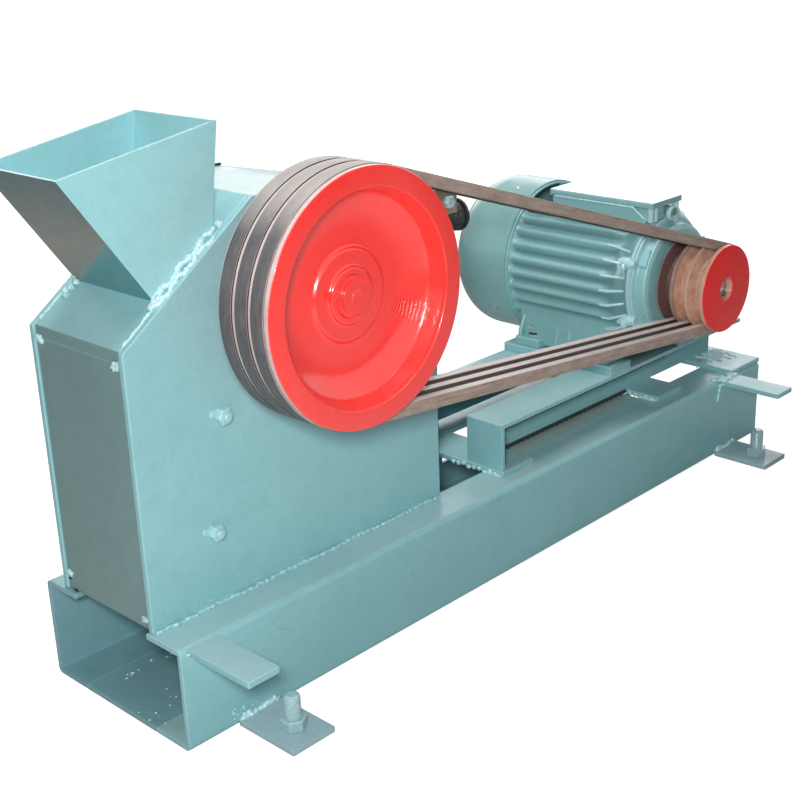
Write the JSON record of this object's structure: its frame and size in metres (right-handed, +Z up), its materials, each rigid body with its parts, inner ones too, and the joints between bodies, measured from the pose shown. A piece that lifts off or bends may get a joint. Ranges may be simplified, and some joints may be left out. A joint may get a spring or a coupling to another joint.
{
  "type": "laboratory jaw crusher",
  "caption": "Small belt-driven jaw crusher: hopper-fed crusher body and electric motor on a channel base, with drive wheel, pulley and V-belts.",
  "frame": {"origin": "middle of the machine's outline, at floor level", "axes": "+X along the base from the feed end to the motor end, +Y away from the belt side, +Z up"},
  "size_m": [0.974, 0.355, 0.522],
  "materials": {
    "teal_paint": "gloss machine enamel, worn at edges",
    "shade_paint": "gloss machine enamel, darker coat",
    "motor_paint": "semi-gloss enamel on castings",
    "red_paint": "gloss red enamel",
    "belt_rubber": "dusty grey-brown rubber",
    "jaw_steel": "bare cast manganese steel",
    "bare_steel": "turned steel"
  },
  "bodies": {
    "frame": {"near_channel": "teal_paint", "far_channel": "teal_paint", "floor_plate": "shade_paint", "cross_bar_front": "teal_paint", "cross_bar_rear": "teal_paint", "rear_deck": "teal_paint", "near_rail": "teal_paint", "far_rail": "teal_paint", "motor_bar_front": "teal_paint", "motor_bar_rear": "teal_paint", "near_side_plate": "teal_paint", "far_side_plate": "teal_paint", "front_plate": "shade_paint", "slope_plate": "teal_paint", "top_plate": "teal_paint", "roof_plate": "teal_paint", "back_plate": "shade_paint", "rear_bracket": "shade_paint", "fixed_jaw": "jaw_steel", "swing_jaw": "jaw_steel", "toggle_plate": "jaw_steel", "toggle_block": "shade_paint", "near_bearing": "shade_paint", "far_bearing": "shade_paint", "hopper": "teal_paint", "anchor_tab_1": "teal_paint", "anchor_tab_2": "teal_paint", "anchor_tab_3": "teal_paint", "anchor_tab_4": "teal_paint", "anchor_stud_1": "teal_paint", "anchor_stud_2": "teal_paint", "anchor_stud_3": "teal_paint", "anchor_stud_4": "teal_paint", "guard_bracket_front": "teal_paint", "guard_bracket_rear": "teal_paint", "motor_frame": "motor_paint", "end_shield": "motor_paint", "fan_cover": "motor_paint", "terminal_box": "motor_paint", "cable_gland": "shade_paint", "belt_1": "belt_rubber", "belt_2": "belt_rubber", "belt_3": "belt_rubber"},
    "wheel": {"drive_wheel": "red_paint", "crusher_shaft": "red_paint"},
    "rotor": {"motor_pulley": "red_paint", "motor_shaft": "bare_steel"}
  },
  "joints": [
    {"name": "wheel_spin", "type": "hinge", "parent": "frame", "child": "wheel", "pos_m": [-0.283, -0.0975, 0.379], "axis": [0, 1, 0], "continuous": true},
    {"name": "rotor_spin", "type": "hinge", "parent": "frame", "child": "rotor", "pos_m": [0.277, -0.0975, 0.259], "axis": [0, 1, 0], "continuous": true}
  ],
  "couplings": [
    {"joint": "rotor_spin", "follows": "wheel_spin", "ratio": 2.2274}
  ]
}
